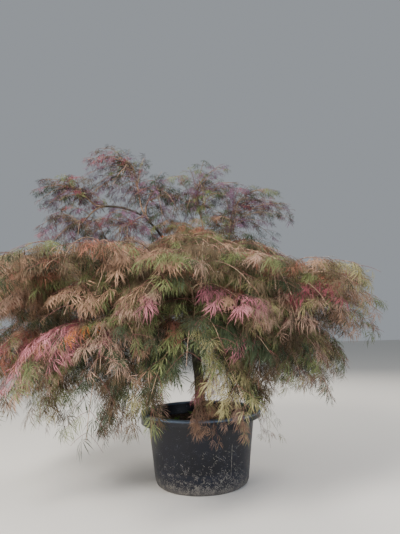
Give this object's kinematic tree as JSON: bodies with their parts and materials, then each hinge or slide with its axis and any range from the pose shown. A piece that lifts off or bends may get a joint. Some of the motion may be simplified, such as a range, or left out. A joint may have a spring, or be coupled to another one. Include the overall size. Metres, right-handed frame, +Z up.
{
  "type": "potted weeping maple",
  "caption": "Weeping, lace-leaved garden tree with a wide low crown, arching boughs and hanging sprays, in a large round plastic pot filled with compost.",
  "frame": {"origin": "middle of the pot's flat underside", "axes": "+Z up, +X to the right of the plant's front, +Y to its back"},
  "size_m": [2.5895, 2.2437, 2.116],
  "materials": {
    "pot": "satin",
    "compost": "matte",
    "bark": "matte",
    "leaves_reddish": "matte",
    "leaves_crimson": "matte",
    "leaves_pink": "matte",
    "leaves_tan": "matte",
    "leaves_olive": "matte",
    "leaves_green": "matte",
    "leaves_purple": "matte"
  },
  "bodies": {
    "root": {"pot": "pot", "compost": "compost", "trunk": "bark", "arm_left_front": "bark", "arm_left_back": "bark", "arm_right_back": "bark", "arm_right_front": "bark", "leader": "bark", "bough_1": "bark", "bough_2": "bark", "bough_3": "bark", "bough_4": "bark", "bough_5": "bark", "bough_6": "bark", "bough_7": "bark", "bough_8": "bark", "bough_9": "bark", "dome_bough_left": "bark", "dome_bough_right": "bark", "high_bough": "bark", "crown_bough": "bark", "high_bough_outer": "bark", "shoulder_1": "leaves_pink", "shoulder_2": "leaves_pink", "shoulder_3": "leaves_pink", "shoulder_4": "leaves_pink", "shoulder_5": "leaves_pink", "shoulder_6": "leaves_pink", "shoulder_7": "leaves_pink", "shoulder_8": "leaves_pink", "shoulder_9": "leaves_pink", "skirt_1": "leaves_tan", "skirt_2": "leaves_tan", "skirt_3": "leaves_tan", "skirt_4": "leaves_tan", "skirt_5": "leaves_tan", "skirt_6": "leaves_tan", "skirt_7": "leaves_tan", "skirt_8": "leaves_tan", "skirt_9": "leaves_tan", "dome_1": "leaves_reddish", "dome_2": "leaves_reddish", "dome_3": "leaves_reddish", "dome_4": "leaves_reddish", "dome_5": "leaves_reddish", "dome_6": "leaves_reddish", "dome_top": "leaves_reddish", "airy_middle": "leaves_purple", "airy_right": "leaves_green", "airy_left": "leaves_purple", "high_elbow": "leaves_crimson", "high_spur": "leaves_crimson", "high_tip": "leaves_purple", "high_droop": "leaves_pink", "curtain_front": "leaves_pink", "curtain_left": "leaves_olive", "curtain_right": "leaves_tan"}
  },
  "joints": []
}
